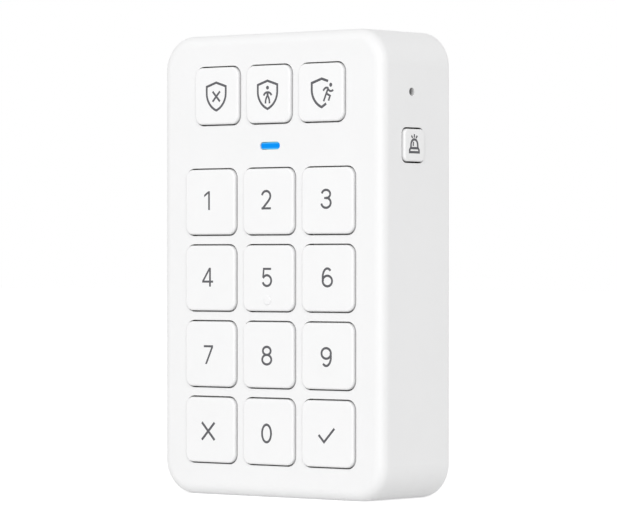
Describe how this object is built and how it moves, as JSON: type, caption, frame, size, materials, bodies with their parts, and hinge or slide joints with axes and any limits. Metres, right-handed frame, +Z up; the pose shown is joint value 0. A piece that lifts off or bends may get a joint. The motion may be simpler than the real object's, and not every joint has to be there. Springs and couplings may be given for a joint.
{
  "type": "alarm keypad",
  "caption": "Wall-mounted wireless alarm keypad with push keys, mode keys, status light and side panic button.",
  "frame": {"origin": "on the wall plane, behind the middle of the housing", "axes": "+Z up along the housing, +Y into the wall, +X to the right of a person who faces the keys"},
  "size_m": [0.0707, 0.0296, 0.1134],
  "materials": {
    "housing": "fine spark-eroded satin",
    "key_cap": "fine satin",
    "bracket": "satin",
    "light_lens": "diffusing, lit blue",
    "led_body": "matte",
    "silicone": "matte silicone",
    "seal": "foam",
    "plunger": "satin",
    "circuit_board": "solder mask",
    "chip": "moulded",
    "shield_can": "tinned",
    "antenna_wire": "enamelled copper",
    "spring_steel": "bright wire",
    "contact_metal": "nickel plated",
    "cell_sleeve": "printed film",
    "screw_steel": "zinc plated"
  },
  "bodies": {
    "housing": {"front_shell": "housing", "rear_cover": "housing", "rear_gasket": "seal", "keypad_mat": "silicone", "main_pcb": "circuit_board", "pcb_chips": "chip", "radio_module": "shield_can", "antenna": "antenna_wire", "buzzer": "chip", "buzzer_gasket": "seal", "status_lens": "light_lens", "status_led": "led_body", "panic_switch": "chip", "tamper_switch": "chip", "tamper_spring": "spring_steel", "battery_upper": "cell_sleeve", "battery_lower": "cell_sleeve", "series_contact": "contact_metal", "positive_contact": "contact_metal", "negative_contact": "contact_metal", "case_screws": "screw_steel", "board_screws": "screw_steel"},
    "wall_bracket": {"wall_bracket": "bracket"},
    "battery_door": {"battery_door": "housing", "door_pad": "seal"},
    "tamper_plunger": {"tamper_plunger": "plunger"},
    "panic_button": {"panic_button": "key_cap", "panic_switch_stem": "chip"},
    "key_1": {"key_1": "key_cap"},
    "key_2": {"key_2": "key_cap"},
    "key_3": {"key_3": "key_cap"},
    "key_4": {"key_4": "key_cap"},
    "key_5": {"key_5": "key_cap"},
    "key_6": {"key_6": "key_cap"},
    "key_7": {"key_7": "key_cap"},
    "key_8": {"key_8": "key_cap"},
    "key_9": {"key_9": "key_cap"},
    "key_0": {"key_0": "key_cap"},
    "key_cancel": {"key_cancel": "key_cap"},
    "key_enter": {"key_enter": "key_cap"},
    "key_disarm": {"key_disarm": "key_cap"},
    "key_home": {"key_home": "key_cap"},
    "key_away": {"key_away": "key_cap"}
  },
  "joints": [
    {"name": "key_1_press", "type": "slide", "parent": "housing", "child": "key_1", "axis": [0, 1, 0], "range_m": [0, 0.001], "stiffness_N_per_m": 900, "deforming": ["keypad_mat"]},
    {"name": "key_2_press", "type": "slide", "parent": "housing", "child": "key_2", "axis": [0, 1, 0], "range_m": [0, 0.001], "stiffness_N_per_m": 900, "deforming": ["keypad_mat"]},
    {"name": "key_3_press", "type": "slide", "parent": "housing", "child": "key_3", "axis": [0, 1, 0], "range_m": [0, 0.001], "stiffness_N_per_m": 900, "deforming": ["keypad_mat"]},
    {"name": "key_4_press", "type": "slide", "parent": "housing", "child": "key_4", "axis": [0, 1, 0], "range_m": [0, 0.001], "stiffness_N_per_m": 900, "deforming": ["keypad_mat"]},
    {"name": "key_5_press", "type": "slide", "parent": "housing", "child": "key_5", "axis": [0, 1, 0], "range_m": [0, 0.001], "stiffness_N_per_m": 900, "deforming": ["keypad_mat"]},
    {"name": "key_6_press", "type": "slide", "parent": "housing", "child": "key_6", "axis": [0, 1, 0], "range_m": [0, 0.001], "stiffness_N_per_m": 900, "deforming": ["keypad_mat"]},
    {"name": "key_7_press", "type": "slide", "parent": "housing", "child": "key_7", "axis": [0, 1, 0], "range_m": [0, 0.001], "stiffness_N_per_m": 900, "deforming": ["keypad_mat"]},
    {"name": "key_8_press", "type": "slide", "parent": "housing", "child": "key_8", "axis": [0, 1, 0], "range_m": [0, 0.001], "stiffness_N_per_m": 900, "deforming": ["keypad_mat"]},
    {"name": "key_9_press", "type": "slide", "parent": "housing", "child": "key_9", "axis": [0, 1, 0], "range_m": [0, 0.001], "stiffness_N_per_m": 900, "deforming": ["keypad_mat"]},
    {"name": "key_0_press", "type": "slide", "parent": "housing", "child": "key_0", "axis": [0, 1, 0], "range_m": [0, 0.001], "stiffness_N_per_m": 900, "deforming": ["keypad_mat"]},
    {"name": "key_cancel_press", "type": "slide", "parent": "housing", "child": "key_cancel", "axis": [0, 1, 0], "range_m": [0, 0.001], "stiffness_N_per_m": 900, "deforming": ["keypad_mat"]},
    {"name": "key_enter_press", "type": "slide", "parent": "housing", "child": "key_enter", "axis": [0, 1, 0], "range_m": [0, 0.001], "stiffness_N_per_m": 900, "deforming": ["keypad_mat"]},
    {"name": "key_disarm_press", "type": "slide", "parent": "housing", "child": "key_disarm", "axis": [0, 1, 0], "range_m": [0, 0.001], "stiffness_N_per_m": 900, "deforming": ["keypad_mat"]},
    {"name": "key_home_press", "type": "slide", "parent": "housing", "child": "key_home", "axis": [0, 1, 0], "range_m": [0, 0.001], "stiffness_N_per_m": 900, "deforming": ["keypad_mat"]},
    {"name": "key_away_press", "type": "slide", "parent": "housing", "child": "key_away", "axis": [0, 1, 0], "range_m": [0, 0.001], "stiffness_N_per_m": 900, "deforming": ["keypad_mat"]},
    {"name": "panic_button_press", "type": "slide", "parent": "housing", "child": "panic_button", "axis": [-1, 0, 0], "range_m": [0, 0.0006], "stiffness_N_per_m": 2500},
    {"name": "tamper_plunger_press", "type": "slide", "parent": "housing", "child": "tamper_plunger", "axis": [0, -1, 0], "range_m": [0, 0.0012], "stiffness_N_per_m": 250, "deforming": ["tamper_spring"]},
    {"name": "battery_door_hinge", "type": "hinge", "parent": "housing", "child": "battery_door", "pos_m": [0, -0.002, -0.04532], "axis": [-1, 0, 0], "range_deg": [0, 90]},
    {"name": "wall_bracket_slide", "type": "slide", "parent": "housing", "child": "wall_bracket", "axis": [0, 0, -1], "range_m": [0, 0.007]}
  ]
}
